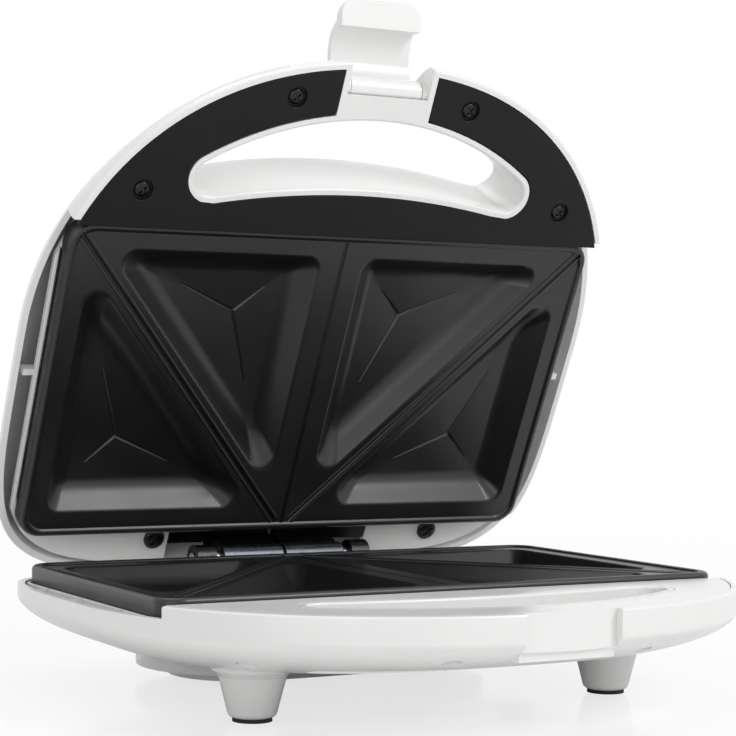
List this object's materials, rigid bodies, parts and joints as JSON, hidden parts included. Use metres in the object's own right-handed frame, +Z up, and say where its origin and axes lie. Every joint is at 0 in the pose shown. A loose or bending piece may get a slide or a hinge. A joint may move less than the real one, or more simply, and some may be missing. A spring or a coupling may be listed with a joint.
{
  "type": "sandwich toaster",
  "caption": "Countertop sandwich toaster with a hinged lid, cooking plates with triangular pockets, a hand opening through the handle, a latch clip and front feet.",
  "frame": {"origin": "on the table under the middle of the part, as it stands with the lid open", "axes": "+X to the right as seen from the front, +Y from the handle to the hinge at the back, +Z up"},
  "size_m": [0.239, 0.2315, 0.2479],
  "materials": {
    "white_shell": "glossy white moulded plastic",
    "zinc_steel": "zinc-plated steel",
    "nonstick": "satin black non-stick coating on die-cast aluminium",
    "heater_sheath": "dark heat-tinted steel tube",
    "ceramic": "matte ceramic",
    "tinplate": "thin bright steel sheet",
    "nylon": "natural nylon",
    "black_rubber": "matte",
    "dark_metal": "dark satin metal",
    "black_panel": "fine matte black moulded plastic",
    "red_lens": "clear red lens",
    "green_lens": "clear green lens",
    "bulb_glass": "small neon bulb"
  },
  "bodies": {
    "base": {"base_shell": "white_shell", "base_top_frame": "white_shell", "base_frame_screws": "zinc_steel", "base_plate": "nonstick", "base_plate_screws": "zinc_steel", "base_element": "heater_sheath", "base_element_beads": "ceramic", "base_reflector": "tinplate", "base_thermostat": "ceramic", "thermal_fuse": "ceramic", "terminal_block": "nylon", "cord_gland": "black_rubber", "cord_wrap": "white_shell", "cord_wrap_screws": "zinc_steel", "foot_pads": "black_rubber", "hinge_brackets": "dark_metal", "hinge_pin": "zinc_steel"},
    "lid": {"lid_shell": "white_shell", "lid_frame": "white_shell", "handle_panel": "black_panel", "panel_screws": "zinc_steel", "lid_back_screws": "dark_metal", "lid_plate": "nonstick", "lid_plate_screws": "zinc_steel", "lid_element": "heater_sheath", "lid_element_beads": "ceramic", "lid_reflector": "tinplate", "lid_thermostat": "ceramic", "power_lamp_lens": "red_lens", "ready_lamp_lens": "green_lens", "lamp_bulbs": "bulb_glass", "hinge_sleeves": "dark_metal", "lid_hinge_brackets": "dark_metal", "latch_pin": "zinc_steel"},
    "latch": {"latch_clip": "white_shell"}
  },
  "joints": [
    {"name": "lid_hinge", "type": "hinge", "parent": "base", "child": "lid", "pos_m": [0, 0.0859, 0.041], "axis": [-1, 0, 0], "range_deg": [-64, 36]},
    {"name": "latch_hinge", "type": "hinge", "parent": "lid", "child": "latch", "pos_m": [0, 0.0077, 0.21592], "axis": [-1, 0, 0], "range_deg": [-116, 5]}
  ]
}
